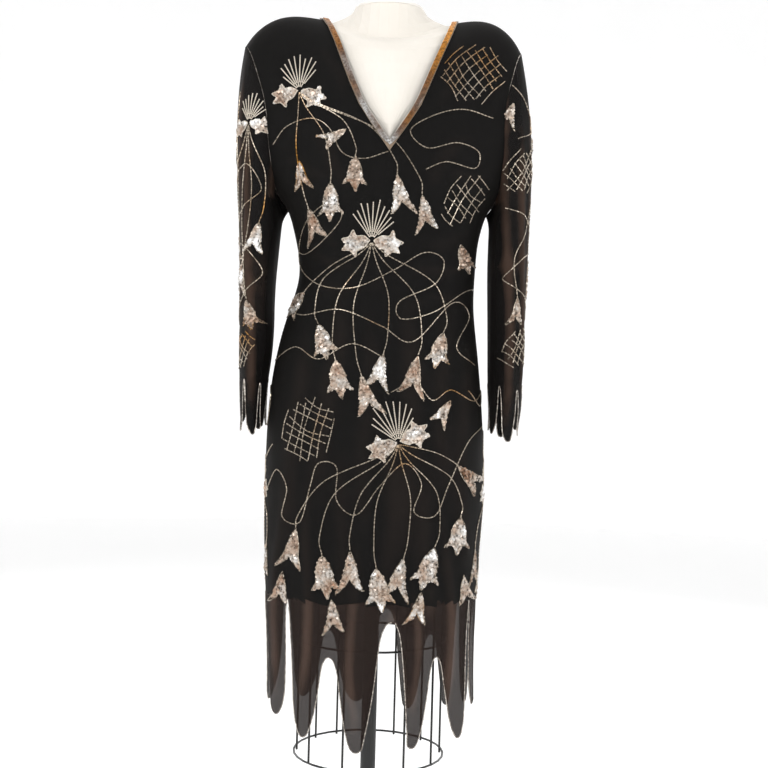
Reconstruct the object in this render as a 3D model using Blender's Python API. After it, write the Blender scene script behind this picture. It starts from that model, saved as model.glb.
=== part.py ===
"""Beaded evening dress on a limbless dress form: cloth walls, lining, bindings, torso, cage and stand.

Tables are in millimetres, meshes in metres. +X is the photo's right, -Y the dress's front, +Z up.
"""
import math

import bpy
import numpy as np
from mathutils import Vector
from mathutils.bvhtree import BVHTree

for old in list(bpy.data.objects):
    bpy.data.objects.remove(old, do_unlink=True)

CLOTH = 1.5  # wall of the outer cloth
LINING = 1.0  # wall of the slip lining
LINING_IN = 2.3  # lining's outer face below the cloth's outer face
SEAM = 0.3  # between two sewn pieces
SQUARE = 0.93  # power of the body's ovals: 1 is an ellipse
TORSO_Z = 612.0  # underside of the torso
NECK_Z = 1409.0
WIRE = 1.75  # radius of the cage wire
CAGE_R = 119.0
CAGE_RINGS = (606.0, 408.0, 226.0)
# degrees from the front, positive to the photo's right, uneven as seen
UPRIGHTS = (-93.0, -52.7, -19.4, 28.5, 58.5, 95.0, 131.3, 158.6, -151.8, -130.0)
POLE_R = 12.0
BASE_R = 190.0
BASE_H = 26.0
COLS = 12  # columns from a side seam to the centre

# z, half width, centre x, front depth, back depth
SECTIONS = (
    (240, 160, 0, 130, 130),
    (342, 162, 0, 130, 130),
    (400, 164, -1, 130, 130),
    (457, 167, -2, 130, 130),
    (515, 168.5, -3, 130, 130),
    (572, 172, -3, 130, 130),
    (630, 174, 0, 129, 130),
    (688, 174, -2, 127, 129),
    (745, 172.5, -2.5, 124, 126),
    (790, 169, -3, 121, 122),
    (832, 165, -3, 117, 117),
    (860, 160.5, -1.5, 114, 112),
    (889, 155, 0, 110, 106),
    (918, 149.5, 1.5, 106, 100),
    (947, 143, 6, 102, 94),
    (976, 139.5, 10.5, 100, 90),
    (1004, 140.5, 11, 104, 90),
    (1033, 143, 8, 112, 94),
    (1062, 151, 9.5, 122, 100),
    (1085, 157, 8, 127, 105),
)
Z_ROWS = (479, 500, 556, 612, 680, 750, 812, 862, 902, 940, 974, 1006, 1042, 1085)
T_ROWS = (0, 0.08, 0.16, 0.25, 0.34, 0.44, 0.55, 0.66, 0.77, 0.86, 0.93, 0.98, 1.0)
UND = len(Z_ROWS) - 1  # row through the underarms
TOP = UND + len(T_ROWS) - 1  # shoulder seam

# share of the way up, half width, z, front y, back y, centre x
ARMHOLE = (
    (0.0, 157, 1085, 0, 0, 8),
    (0.12, 172, 1104, -27, 26, 7),
    (0.30, 180, 1142, -46, 46, 6),
    (0.48, 185, 1188, -53, 56, 4.5),
    (0.70, 188, 1251, -53, 60, 1),
    (0.86, 201, 1299, -46, 53, -2),
    (0.93, 209, 1325, -36, 41, -3),
    (0.98, 217, 1341, -19, 22, -4),
    (1.0, 221, 1346, 2, 2, -5),
)
# share of the way up, half width of the neck opening, z, y, centre x
FRONT_NECK = (
    (0.0, 0, 1085, -127, 8),
    (0.16, 0, 1120, -129, 8),
    (0.34, 0, 1180, -119, 9.5),
    (0.44, 18, 1206, -111, 8.5),
    (0.55, 38, 1239, -100, 8),
    (0.68, 55, 1280, -88, 7),
    (0.80, 71, 1322, -70, 7),
    (0.93, 90, 1370, -38, 7),
    (0.98, 98, 1387, -17, 5),
    (1.0, 101, 1392, 2, 3),
)
BACK_NECK = (
    (0.0, 0, 1085, 105, 8),
    (0.25, 0, 1142, 110, 7),
    (0.48, 0, 1200, 110, 6),
    (0.66, 0, 1260, 98, 5),
    (0.77, 0, 1292, 88, 5),
    (0.86, 46, 1316, 79, 5),
    (0.93, 72, 1349, 58, 5),
    (0.98, 93, 1380, 28, 4),
    (1.0, 101, 1392, 2, 3),
)
NECK_ROW = {-1: UND + 4, 1: UND + 8}  # where the front and the back neck opening begin

# hem tongues all round: where each starts (degrees from the left seam), top of its gap, half the gap
GAPS = (
    (0.0, 462, 3.0), (34.0, 483, 2.8), (62.0, 403, 5.2), (91.5, 461, 6.2), (118.5, 404, 4.6), (147.0, 482, 3.0),
    (180.0, 455, 3.4), (203.0, 472, 3.2), (226.0, 396, 5.0), (254.0, 434, 5.6), (286.0, 396, 4.8), (318.0, 472, 4.0),
)
# tip height, tip shifted in degrees, how far the tip curls out (mm)
TIPS = (
    (299, 4.0, 3.0), (276, -1.0, 5.0), (259, 0.0, 2.0), (268, -2.0, 6.0), (274, 2.0, 8.0), (312, -2.0, 4.0),
    (296, 1.0, 4.0), (279, -1.0, 3.0), (262, 1.0, 6.0), (270, -1.0, 2.0), (284, 1.0, 3.0), (298, 2.0, 3.0),
)
TONGUE = (0.0, 0.07, 0.2, 0.42, 0.64, 0.82, 0.94, 1.0)

# z, inner edge, outer edge, half depth, for the photo's left and right sleeve
SLEEVES = {
    -1: (
        (715, 182, 213, 52), (745, 181, 215, 53), (775, 179, 218, 54), (803, 177, 220, 55), (832, 173, 221, 56),
        (860, 168, 222, 57), (889, 167, 222, 58), (918, 168, 222, 59), (947, 169, 224, 60), (976, 167, 223, 60),
        (1004, 165, 224, 60), (1033, 164, 226, 59), (1060, 160, 227, 58),
    ),
    1: (
        (715, 183, 221, 52), (745, 182, 223, 53), (775, 180, 229, 54), (803, 177, 230, 55), (832, 175, 231, 56),
        (860, 174, 233, 57), (889, 174, 232, 58), (918, 174, 233, 59), (947, 172, 231, 60), (976, 172, 232, 60),
        (1004, 170, 234, 60), (1033, 172, 235, 59), (1060, 171, 234, 58),
    ),
}
CAP_ROWS = 5
SLEEVE_Z = (1060, 1000, 942, 884, 826)
# cuff fingers: where each starts (degrees from the outer edge), top of its gap, half the gap
CUFF_GAPS = {
    -1: ((0, 816, 4.0), (52, 812, 5.0), (112, 818, 5.5), (180, 811, 4.0), (243, 817, 5.0), (306, 813, 5.0)),
    1: ((0, 812, 4.0), (62, 817, 5.5), (122, 811, 5.0), (180, 816, 4.0), (238, 812, 5.0), (300, 818, 5.0)),
}
# tip height, tip shifted in degrees, how far the tip curls out (mm)
CUFF_TIPS = {
    -1: ((741, 4.0, 1.0), (729, -3.0, 3.0), (733, 4.0, 2.0), (746, 0.0, 4.0), (734, 3.0, 2.0), (741, -3.0, 3.0)),
    1: ((739, -3.0, 2.0), (728, 2.0, 3.0), (736, 4.0, 2.0), (744, 0.0, 3.0), (731, -3.0, 2.0), (742, 3.0, 3.0)),
}
FINGER = (0.0, 0.12, 0.42, 0.74, 0.88, 1.0)


def ramp(a, b, v):
    v = min(max((v - a) / (b - a), 0.0), 1.0)
    return v * v * (3 - 2 * v)


def curve(table, v):
    """Smooth values of a table at v, whose first column rises."""
    t = np.asarray(table, float)
    x, y = t[:, 0], t[:, 1:]
    v = min(max(v, x[0]), x[-1])
    i = min(int(np.searchsorted(x, v, side="right")) - 1, len(x) - 2)
    step = np.diff(x)
    d = np.diff(y, axis=0) / step[:, None]
    m = np.vstack([d[:1], (d[:-1] * step[1:, None] + d[1:] * step[:-1, None]) / (step[1:] + step[:-1])[:, None], d[-1:]])
    h = step[i]
    s = (v - x[i]) / h
    return (
        y[i] * (2 * s**3 - 3 * s**2 + 1) + m[i] * h * (s**3 - 2 * s**2 + s)
        + y[i + 1] * (3 * s**2 - 2 * s**3) + m[i + 1] * h * (s**3 - s**2)
    )


def bust(x, y, z):
    if y >= 0:
        return 0.0
    return 9.0 * math.exp(-(((abs(x - 8) - 82) / 48) ** 2) - ((z - 1118) / 62) ** 2)


def body(phi, z):
    """A point of the skirt or bodice below the underarm, phi in degrees from the front."""
    hw, cx, front, back = curve(SECTIONS, z)
    th = math.radians(phi + 8.0 * ramp(760, 500, z))
    s, c = math.sin(th), math.cos(th)
    x = cx + hw * math.copysign(abs(s) ** SQUARE, s)
    y = -(front if c > 0 else back) * math.copysign(abs(c) ** SQUARE, c)
    return np.array([x, y - bust(x, y, z), z])


def outward(phi, z):
    hw, cx, front, back = curve(SECTIONS, z)
    th = math.radians(phi + 8.0 * ramp(760, 500, z))
    n = np.array([math.sin(th) / hw, -math.cos(th) / (front if math.cos(th) > 0 else back), 0.0])
    return n / np.linalg.norm(n)


def fold(phi, z):
    """How far the skirt's soft folds stand out."""
    th = math.radians(phi)
    deep = 5.0 * ramp(900, 480, z) * (0.25 + 0.75 * math.cos(th) ** 2)
    wave = 0.5 + 0.5 * math.sin(9 * th + 0.9 + (z - 500) / 330)
    return deep * wave * (0.65 + 0.35 * math.sin(4 * th + 1.7))


def upper(face, side, s, t):
    """A point of the bodice above the underarm: s runs from the armhole to the neck edge or centre."""
    hw, za, yf, yb, ca = curve(ARMHOLE, t)
    half, zn, yn, cn = curve(FRONT_NECK if face < 0 else BACK_NECK, t)
    start = T_ROWS[NECK_ROW[face] - UND]
    if t <= start + 1e-9:
        half = 0.0
    ya = yf if face < 0 else yb
    e = (1 - t) ** 3
    phi = s * math.pi / 2
    fx = e * (1 - math.cos(phi) ** SQUARE if s < 1 else 1.0) + (1 - e) * s
    fy = e * math.sin(phi) ** SQUARE + (1 - e) * (1 - (1 - s) ** 1.7)
    cx = ca + (cn - ca) * fx
    x = cx + side * (hw + (half - hw) * fx)
    y = ya + (yn - ya) * fy
    z = za + (zn - za) * s + 28 * math.sin(math.pi * s**0.75) * t**2.5
    return np.array([x, y - bust(x, y, z), z])


def place(face, side, k, row):
    s = k / COLS
    if row <= UND:
        phi = side * (90 - 90 * s) if face < 0 else side * (90 + 90 * s)
        return body(phi, Z_ROWS[row]), phi
    return upper(face, side, s, T_ROWS[row - UND]), None


def key(face, side, k, row):
    if (row <= UND and k == 0) or row == TOP:
        face = 0
    if k == COLS and row <= NECK_ROW[face if face else -1]:
        side = 0
    return (face, side, k, row)


def around(c):
    """Face, side and column of one of the columns counted round the body from the left side seam."""
    c %= 4 * COLS
    if c <= COLS:
        return -1, -1, c
    if c <= 2 * COLS:
        return -1, 1, 2 * COLS - c
    if c <= 3 * COLS:
        return 1, 1, c - 2 * COLS
    return 1, -1, 4 * COLS - c


def vertex_normals(points, faces):
    n = {k: np.zeros(3) for k in points}
    for f in faces:
        p = [points[k] for k in f]
        for i in range(len(f)):
            a, b = p[i - 1] - p[i], p[(i + 1) % len(f)] - p[i]
            w = np.cross(b, a)
            size = np.linalg.norm(w)
            if size > 1e-9:
                cosine = np.dot(a, b) / (np.linalg.norm(a) * np.linalg.norm(b))
                n[f[i]] += w / size * math.acos(max(-1, min(1, cosine)))
    return {k: v / max(np.linalg.norm(v), 1e-9) for k, v in n.items()}


def halves_of(faces):
    """Each four-sided face as two triangles, with the same diagonal in every layer of cloth."""
    out = []
    for f in faces:
        out += [f] if len(f) != 4 else [(f[0], f[1], f[2]), (f[0], f[2], f[3])]
    return out


def add_object(name, verts, faces, colour):
    mesh = bpy.data.meshes.new(name)
    mesh.from_pydata([tuple(float(c) / 1000 for c in v) for v in verts], [], faces)
    mesh.validate()
    ob = bpy.data.objects.new(name, mesh)
    bpy.context.scene.collection.objects.link(ob)
    mat = bpy.data.materials.new(name)
    mat.diffuse_color = (*colour, 1.0)
    mat.use_nodes = True
    mat.node_tree.nodes["Principled BSDF"].inputs["Base Color"].default_value = (*colour, 1.0)
    mesh.materials.append(mat)
    return ob


def shell(name, faces, points, normals, thick, gap, colour):
    """A closed wall under the given faces: drawn in by gap(a, b) at each free edge."""
    used = sorted({k for f in faces for k in f}, key=repr)
    index = {k: i for i, k in enumerate(used)}
    edges = {}
    for f in faces:
        for i in range(len(f)):
            edges[(f[i], f[(i + 1) % len(f)])] = True
    rim = [e for e in edges if (e[1], e[0]) not in edges]
    after = {a: b for a, b in rim}
    before = {b: a for a, b in rim}
    outer, inner = [], []
    for k in used:
        p, n = points[k], normals[k]
        d = np.zeros(3)
        if k in after:
            a, b = before[k], after[k]
            m = []
            for u, v in ((a, k), (k, b)):
                m.append(np.cross(n, points[v] - points[u]))
                m[-1] /= np.linalg.norm(m[-1])
            g1, g2 = gap(a, k), gap(k, b)
            c = float(np.dot(m[0], m[1]))
            if abs(c) > 0.95:
                d = (g1 + g2) / 2 * (m[0] + m[1]) / max(np.linalg.norm(m[0] + m[1]), 1e-6)
            else:
                d = ((g1 - c * g2) * m[0] + (g2 - c * g1) * m[1]) / (1 - c * c)
        outer.append(p + d)
        inner.append(p + d - thick * n)
    count = len(used)
    faces = halves_of(faces)
    out = [tuple(index[k] for k in f) for f in faces]
    out += [tuple(count + index[k] for k in reversed(f)) for f in faces]
    out += [(index[b], index[a], count + index[a], count + index[b]) for a, b in rim]
    return add_object(name, outer + inner, out, colour)


def quads(grid, flip=False):
    """Faces between rows of keys, the rows running downward as seen from outside."""
    faces = []
    for upper_row, lower_row in zip(grid, grid[1:]):
        for i in range(len(upper_row) - 1):
            f = [upper_row[i], lower_row[i], lower_row[i + 1], upper_row[i + 1]]
            f = [k for n, k in enumerate(f) if k != f[n - 1]]
            if len(f) > 2:
                faces.append(tuple(reversed(f)) if flip else tuple(f))
    return faces


def tongue_edges(q, pitch, gap_half, blunt):
    """Half width of a tongue at q of its length, in degrees, rounded at the gap's top and at the tip."""
    start = math.sqrt(max(0.0, 1 - (1 - min(q / 0.2, 1)) ** 2))
    off = gap_half * start * (0.75 + 0.6 * q)
    tip = math.sqrt(max(0.0, 1 - max(0.0, (q - 0.78) / 0.225) ** 2))
    return (pitch / 2 - off - 0.12 * pitch * q * q) * tip + blunt * (1 - tip)


def tongues(points, gaps, tips, cols, steps, root, spot, prefix, bow, blunt):
    """Tongues below a ring: returns each one's faces. spot(angle, z, curl) gives points, root(c) the ring's keys."""
    total = len(gaps)
    done = []
    for i in range(total):
        a0, z0, g0 = gaps[i]
        a1, z1, g1 = gaps[(i + 1) % total]
        if i == total - 1:
            a1 += 360
        pitch = a1 - a0
        zt, shift, curl = tips[i]
        grid = [[root(i * cols + m) for m in range(cols + 1)]]
        zr = points[grid[0][0]][2]
        for j in (1, 2):
            row = []
            for m in range(cols + 1):
                u = m / cols
                k = (prefix, "gap", (i + (m == cols)) % total, j) if m in (0, cols) else (prefix, i, m, j)
                z = zr + ((z0 + (z1 - z0) * u) - zr) * j / 2
                if k not in points:
                    points[k] = spot(a0 + pitch * u, z, 0.0)
                row.append(k)
            grid.append(row)
        mid = (a0 + a1) / 2
        for j, q in enumerate(steps[1:], 3):
            left, right = tongue_edges(q, pitch, g0, blunt), tongue_edges(q, pitch, g1, blunt)
            row = []
            for m in range(cols + 1):
                u = m / cols
                z = (z0 + (z1 - z0) * u) * (1 - q) + (zt + bow) * q - bow * q * 4 * u * (1 - u)
                angle = mid + shift * q * q - left + (left + right) * u
                k = (prefix, i, m, j)
                points[k] = spot(angle, z, curl * q * q)
                row.append(k)
            grid.append(row)
        done.append(quads(grid))
    return done


# outer cloth, base surface without folds, and the fill across the neck opening for the form
base, cloth = {}, {}
panel_faces = {-1: [], 1: []}
lining_faces = {-1: [], 1: []}
for face in (-1, 1):
    for side in (-1, 1):
        for row in range(TOP + 1):
            for k in range(COLS + 1):
                name = key(face, side, k, row)
                if name not in base:
                    p, phi = place(face, side, k, row)
                    base[name] = p
                    cloth[name] = p + (fold(phi, p[2]) * outward(phi, p[2]) if phi is not None else 0)
        rows = range(TOP, 0, -1)
        grid = [[key(face, side, k, r) for k in range(COLS + 1)] for r in rows]
        panel_faces[face] += quads(grid, face * side < 0)
        grid = [[key(face, side, k, r) for k in range(0, COLS + 1, 2)] for r in range(TOP, -1, -1)]
        lining_faces[face] += quads(grid, face * side < 0)
body_normals = vertex_normals(
    base, panel_faces[-1] + panel_faces[1]
    + [f for face in (-1, 1) for f in lining_faces[face] if any(k[3] == 0 for k in f)]
)


def hem_spot(psi, z, curl):
    phi = psi - 90
    return body(phi, z) + (fold(phi, z) + curl) * outward(phi, z)


hem = tongues(
    cloth, GAPS, TIPS, 4, TONGUE, lambda c: key(*around(c), 1), hem_spot, "hem", 6.0, 2.8,
)
panel_faces[-1] += [f for t in hem[:6] for f in t]
panel_faces[1] += [f for t in hem[6:] for f in t]
cloth_normals = vertex_normals(cloth, panel_faces[-1] + panel_faces[1])


# sleeves: a fan of rows from each armhole down to a level ring, then straight rows and cuff fingers
def sleeve_spot(side, psi, z, curl):
    inner_x, outer_x, depth = curve(SLEEVES[side], z)
    c, r = (inner_x + outer_x) / 2, (outer_x - inner_x) / 2
    a = math.radians(psi)
    out = 2.4 * ramp(1040, 860, z) * math.sin(a) ** 2 * (0.5 + 0.5 * math.sin(6 * a + 0.6 * side + z / 190)) + curl
    n = np.array([-side * math.cos(a) / r, -math.sin(a) / depth, 0.0])
    n /= np.linalg.norm(n)
    return np.array([side * (c - r * math.cos(a)), -depth * math.sin(a), z]) + out * n


sleeve_points, sleeve_faces, sleeve_normals = {}, {}, {}
for side in (-1, 1):
    pts = sleeve_points[side] = {}
    ring = []
    for c in range(24):
        face, k = (-1, c) if c <= 12 else (1, 24 - c)
        ring.append(cloth[key(face, side, 0, UND + k)] + np.array([side * 0.3, 0, 0]))
    for c in range(24):
        k = c if c <= 12 else 24 - c
        u = k / 12
        front = -math.sin(math.radians(15 * c))
        p0, p3 = ring[c], sleeve_spot(side, 15.0 * c, SLEEVE_Z[0], 0.0)
        drop = p0[2] - p3[2]
        p1 = p0 + np.array([side * (3 + 10 * u), 5 * front, -0.2 * drop])
        p2 = p3 + np.array([side * 13 * u * u, 2 * front, 0.42 * drop])
        for r in range(CAP_ROWS + 1):
            t = r / CAP_ROWS
            pts[("s", r, c)] = p0 * (1 - t) ** 3 + 3 * p1 * t * (1 - t) ** 2 + 3 * p2 * t * t * (1 - t) + p3 * t**3
        for r, z in enumerate(SLEEVE_Z[1:], CAP_ROWS + 1):
            pts[("s", r, c)] = sleeve_spot(side, 15.0 * c, z, 0.0)
    last = CAP_ROWS + len(SLEEVE_Z) - 1
    cuffs = tongues(
        pts, CUFF_GAPS[side], CUFF_TIPS[side], 4, FINGER,
        lambda c: ("s", last, c % 24), lambda psi, z, curl: sleeve_spot(side, psi, z, curl), "cuff", 1.5, 5.0,
    )
    halves = {}
    for face, first in ((-1, 0), (1, 12)):
        grid = [[("s", r, (first + c) % 24) for c in range(13)] for r in range(last + 1)]
        halves[face] = quads(grid) + [f for t in cuffs[first // 4:first // 4 + 3] for f in t]
        if side < 0:
            halves[face] = [tuple(reversed(f)) for f in halves[face]]
    sleeve_faces[side] = halves
    sleeve_normals[side] = vertex_normals(pts, halves[-1] + halves[1])
    for c in range(24):
        face, k = (-1, c) if c <= 12 else (1, 24 - c)
        own, other = ("s", 0, c), key(face, side, 0, UND + k)
        a, b = sleeve_normals[side][own], cloth_normals[other]
        w = ramp(0.0, 0.6, float(np.dot(a, b)))
        sleeve_normals[side][own] = (a + w * b) / np.linalg.norm(a + w * b)
        cloth_normals[other] = (b + w * a) / np.linalg.norm(b + w * a)

BLACK = (0.02, 0.018, 0.017)


def panel_gap(a, b):
    if a[0] == "hem" or b[0] == "hem":
        at_seam = all(k[0] in (0,) or (k[0] == "hem" and k[1] == "gap" and k[2] in (0, 6)) for k in (a, b))
        return SEAM / 2 if at_seam else 0.0
    if a[3] == TOP and b[3] == TOP:
        return SEAM / 2
    if a[2] == 0 and b[2] == 0:
        return SEAM / 2 if max(a[3], b[3]) <= UND else 0.05
    return 0.0


def lining_gap(a, b):
    if (a[3] == TOP and b[3] == TOP) or (a[2] == 0 and b[2] == 0 and max(a[3], b[3]) <= UND):
        return SEAM / 2
    return 0.0 if a[3] == 0 and b[3] == 0 else 1.0


def sleeve_gap(a, b):
    if a[0] == "s" and b[0] == "s" and a[1] == 0 and b[1] == 0:
        return 0.05

    def at_seam(k):
        return (k[0] == "s" and k[2] in (0, 12)) or (k[0] == "cuff" and k[1] == "gap" and k[2] in (0, 3))

    return SEAM / 2 if at_seam(a) and at_seam(b) else 0.0


for face, word in ((-1, "front"), (1, "back")):
    shell(word + "_panel", panel_faces[face], cloth, cloth_normals, CLOTH, panel_gap, BLACK)
    inside = {}
    for k in {k for f in lining_faces[face] for k in f}:
        t = T_ROWS[k[3] - UND] if k[3] >= UND else 0.0
        deep = LINING_IN + 2.2 * ramp(0.88, 0.72, t) * ramp(UND - 2, UND, k[3])
        inside[k] = base[k] - deep * body_normals[k]
    shell("lining_" + word, lining_faces[face], inside, body_normals, LINING, lining_gap, (0.01, 0.01, 0.01))
    for side, hand in ((-1, "left"), (1, "right")):
        shell(f"sleeve_{hand}_{word}", sleeve_faces[side][face], sleeve_points[side], sleeve_normals[side],
              CLOTH, sleeve_gap, (0.035, 0.03, 0.028))


# neck bindings: strips on the panels' own edge points, moved out
def binding(name, face, sides, width):
    pts, normals = {}, {}
    chain = []
    for side in sides:
        part = [(side, r) for r in range(NECK_ROW[face], TOP + 1)]
        chain.append(part)
    line = chain[0] if len(chain) == 1 else chain[0][::-1] + chain[1][1:]
    top, bottom = [], []
    for side, r in line:
        edge, nxt, reach = key(face, side, COLS, r), key(face, side, COLS - 1, r), width * (1.12 if face < 0 else 1.25)
        if r == NECK_ROW[face]:
            nxt, reach = key(face, side, COLS, r - 1), width * (2.0 if face < 0 else 1.15)
        way = cloth[nxt] - cloth[edge]
        u = reach / np.linalg.norm(way)
        a, b = ("e", side if r > NECK_ROW[face] else 0, r), ("w", side if r > NECK_ROW[face] else 0, r)
        normals[a] = cloth_normals[edge]
        normals[b] = cloth_normals[edge] * (1 - u) + cloth_normals[nxt] * u
        normals[b] /= np.linalg.norm(normals[b])
        pts[a], pts[b] = cloth[edge], cloth[edge] + way * u
        top.append(a)
        bottom.append(b)
    # one more pair of points in each stretch, and all of them laid on the panel's own faces
    for row in (top, bottom):
        for i in range(len(row) - 1, 0, -1):
            a, b = row[i - 1], row[i]
            mid = (a[0], a[1:], b[1:])
            pts[mid], normals[mid] = (pts[a] + pts[b]) / 2, normals[a] + normals[b]
            normals[mid] /= np.linalg.norm(normals[mid])
            row.insert(i, mid)
    names = sorted({k for f in panel_faces[face] for k in f}, key=repr)
    number = {k: i for i, k in enumerate(names)}
    under = BVHTree.FromPolygons([Vector(cloth[k]) for k in names],
                                 [[number[k] for k in f] for f in halves_of(panel_faces[face])])
    for k in top + bottom:
        pts[k] = np.array(under.find_nearest(Vector(pts[k]))[0]) + (1.9 if face < 0 else 2.7) * normals[k]
    faces = quads([top, bottom])
    p = [pts[k] for k in faces[0]]
    if np.dot(np.cross(p[1] - p[0], p[2] - p[0]), normals[faces[0][0]]) < 0:
        faces = quads([top, bottom], True)

    def gap(u, v):
        ends = u[1:] == v[1:]
        return SEAM / 2 if ends else 0.0

    return shell(name, faces, pts, normals, 1.3, gap, (0.45, 0.4, 0.34))


binding("neck_binding_left", -1, (-1,), 8.5)
binding("neck_binding_right", -1, (1,), 8.5)
binding("neck_binding_back", 1, (-1, 1), 8.5)

# torso of the form, from the same surface moved in, its armholes closed by flat plates
form, form_faces = {}, []
ACROSS = 12  # faces across the neck's front and back
for face in (-1, 1):
    for side in (-1, 1):
        for row in range(3, TOP + 1):
            for k in range(0, COLS + 1, 2):
                name = key(face, side, k, row)
                if name in form:
                    continue
                if row <= UND:
                    form[name] = base[name]
                else:
                    t = T_ROWS[row - UND]
                    start = 0.16 * ramp(0, 0.25, t)
                    form[name] = upper(face, side, start + (1 - start) * k / COLS, t)
        grid = [[key(face, side, k, r) for k in range(0, COLS + 1, 2)] for r in range(TOP, 2, -1)]
        form_faces += quads(grid, face * side < 0)
    fill = []
    for row in range(NECK_ROW[face], TOP + 1):
        left, right = form[key(face, -1, COLS, row)], form[key(face, 1, COLS, row)]
        share = (row - NECK_ROW[face]) / (TOP - NECK_ROW[face])
        keys = []
        for m in range(ACROSS + 1):
            if row == NECK_ROW[face]:
                keys.append(key(face, -1, COLS, row))
                continue
            if m in (0, ACROSS):
                keys.append(key(face, -1 if m == 0 else 1, COLS, row))
                continue
            u = m / ACROSS
            w = 1 - (2 * u - 1) ** 2
            name = ("fill", face, row, m)
            bulge = (10 + 46 * share**2) if face < 0 else (4 + 46 * share**2)
            dip = (36 if face < 0 else 12) * ramp(0.35, 0.95, share)
            form[name] = left + (right - left) * u + np.array([0, face * bulge * w, -dip * w])
            keys.append(name)
        fill.append(keys)
    form_faces += quads(fill[::-1], face > 0)
form_normals = vertex_normals(form, form_faces)
for k, p in list(form.items()):
    row = k[3] if k[0] != "fill" else k[2]
    t = T_ROWS[row - UND] if row >= UND else 0.0
    form[k] = p - (8.0 - 3.3 * ramp(0.6, 0.95, t)) * form_normals[k]
loop = [key(-1, -1, COLS, TOP)] + [("fill", -1, TOP, m) for m in range(1, ACROSS)] + [key(-1, 1, COLS, TOP)]
loop += [("fill", 1, TOP, m) for m in range(ACROSS - 1, 0, -1)]
rings = [loop]
for j, (share, z_share) in enumerate(((0.3, 0.1), (0.66, 0.42), (0.9, 0.75), (1.0, 1.0))):
    ring = []
    for i, k in enumerate(loop):
        a = math.pi * 2 * i / len(loop)
        end = np.array([3 - 57 * math.cos(a), 6 - 54 * math.sin(a), NECK_Z])
        p = form[k] + (end - form[k]) * share
        p[2] = form[k][2] + (NECK_Z - form[k][2]) * z_share
        form[("neck", j, i)] = p
        ring.append(("neck", j, i))
    rings.append(ring)
form_faces += quads([r + r[:1] for r in rings[::-1]])
for i in range(len(loop)):
    form_faces.append((("cap",), rings[-1][i], rings[-1][(i + 1) % len(loop)]))
form[("cap",)] = np.mean([form[k] for k in rings[-1]], axis=0)
bottom = []
for c in range(0, 4 * COLS, 2):
    bottom.append(key(*around(c), 3))
form[("under",)] = np.mean([form[k] for k in bottom], axis=0)
for i in range(len(bottom)):
    form_faces.append((("under",), bottom[(i + 1) % len(bottom)], bottom[i]))
for side in (-1, 1):
    arm = [key(-1, side, 0, r) for r in range(UND, TOP + 1)] + [key(1, side, 0, r) for r in range(TOP - 1, UND, -1)]
    form[("arm", side)] = np.mean([form[k] for k in arm], axis=0)
    for i in range(len(arm)):
        f = (("arm", side), arm[i], arm[(i + 1) % len(arm)])
        form_faces.append(f if side < 0 else tuple(reversed(f)))
form_faces = halves_of(form_faces)
names = sorted({k for f in form_faces for k in f}, key=repr)
number = {k: i for i, k in enumerate(names)}
PALE = (0.78, 0.75, 0.7)
add_object("form_torso", [form[k] for k in names], [tuple(number[k] for k in f) for f in form_faces], PALE)


def turned(name, profile, centre, sides, colour):
    """A solid turned round a vertical axis from (radius, z) pairs, first and last at radius 0."""
    verts, faces = [], []
    rows = []
    for r, z in profile:
        if r == 0:
            rows.append([len(verts)] * sides)
            verts.append((centre[0], centre[1], z))
        else:
            rows.append(list(range(len(verts), len(verts) + sides)))
            for i in range(sides):
                a = 2 * math.pi * i / sides
                verts.append((centre[0] + r * math.sin(a), centre[1] - r * math.cos(a), z))
    for low, high in zip(rows, rows[1:]):
        for i in range(sides):
            j = (i + 1) % sides
            f = [low[i], low[j], high[j], high[i]]
            f = [k for n, k in enumerate(f) if k != f[n - 1]]
            if len(f) > 2:
                faces.append(tuple(f))
    return add_object(name, verts, faces, colour)


def rod(name, a, b, radius, sides, colour):
    """A straight round rod from a to b, standing upright."""
    verts = [(p[0] + radius * math.cos(2 * math.pi * i / sides), p[1] + radius * math.sin(2 * math.pi * i / sides), p[2])
             for p in (a, b) for i in range(sides)]
    faces = [tuple(range(sides))[::-1], tuple(range(sides, 2 * sides))]
    faces += [(i, (i + 1) % sides, sides + (i + 1) % sides, sides + i) for i in range(sides)]
    return add_object(name, verts, faces, colour)


METAL = (0.05, 0.05, 0.05)
for n, z in enumerate(CAGE_RINGS, 1):
    verts, faces = [], []
    for i in range(32):
        a = 2 * math.pi * i / 32
        for j in range(6):
            b = 2 * math.pi * (j + 0.5) / 6
            r = CAGE_R + WIRE * math.cos(b)
            verts.append((r * math.sin(a), -r * math.cos(a), z + WIRE * math.sin(b)))
            i2, j2 = (i + 1) % 32, (j + 1) % 6
            faces.append((i * 6 + j, i2 * 6 + j, i2 * 6 + j2, i * 6 + j2))
    add_object(f"cage_ring_{n}", verts, faces, METAL)
UP_R = CAGE_R - 2 * WIRE - SEAM - 0.55
for n, deg in enumerate(UPRIGHTS, 1):
    a = math.radians(deg)
    x, y = UP_R * math.sin(a), -UP_R * math.cos(a)
    rod(f"cage_upright_{n:02d}", (x, y, CAGE_RINGS[-1] - 3), (x, y, TORSO_Z - SEAM), WIRE, 8, METAL)
turned("form_neck_cap", ((0, NECK_Z + SEAM), (55, NECK_Z + SEAM), (56, NECK_Z + 2), (55, NECK_Z + 4.5),
                         (20, NECK_Z + 6.5), (0, NECK_Z + 6.5)), (3, 6), 24, (0.2, 0.12, 0.07))
turned("form_collar", ((0, TORSO_Z - 16), (24, TORSO_Z - 16), (40, TORSO_Z - 6), (40, TORSO_Z - SEAM),
                       (0, TORSO_Z - SEAM)), (0, 0), 24, METAL)
rod("form_pole", (0, 0, BASE_H + 12 + SEAM), (0, 0, TORSO_Z - 16 - SEAM), POLE_R, 20, METAL)
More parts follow.
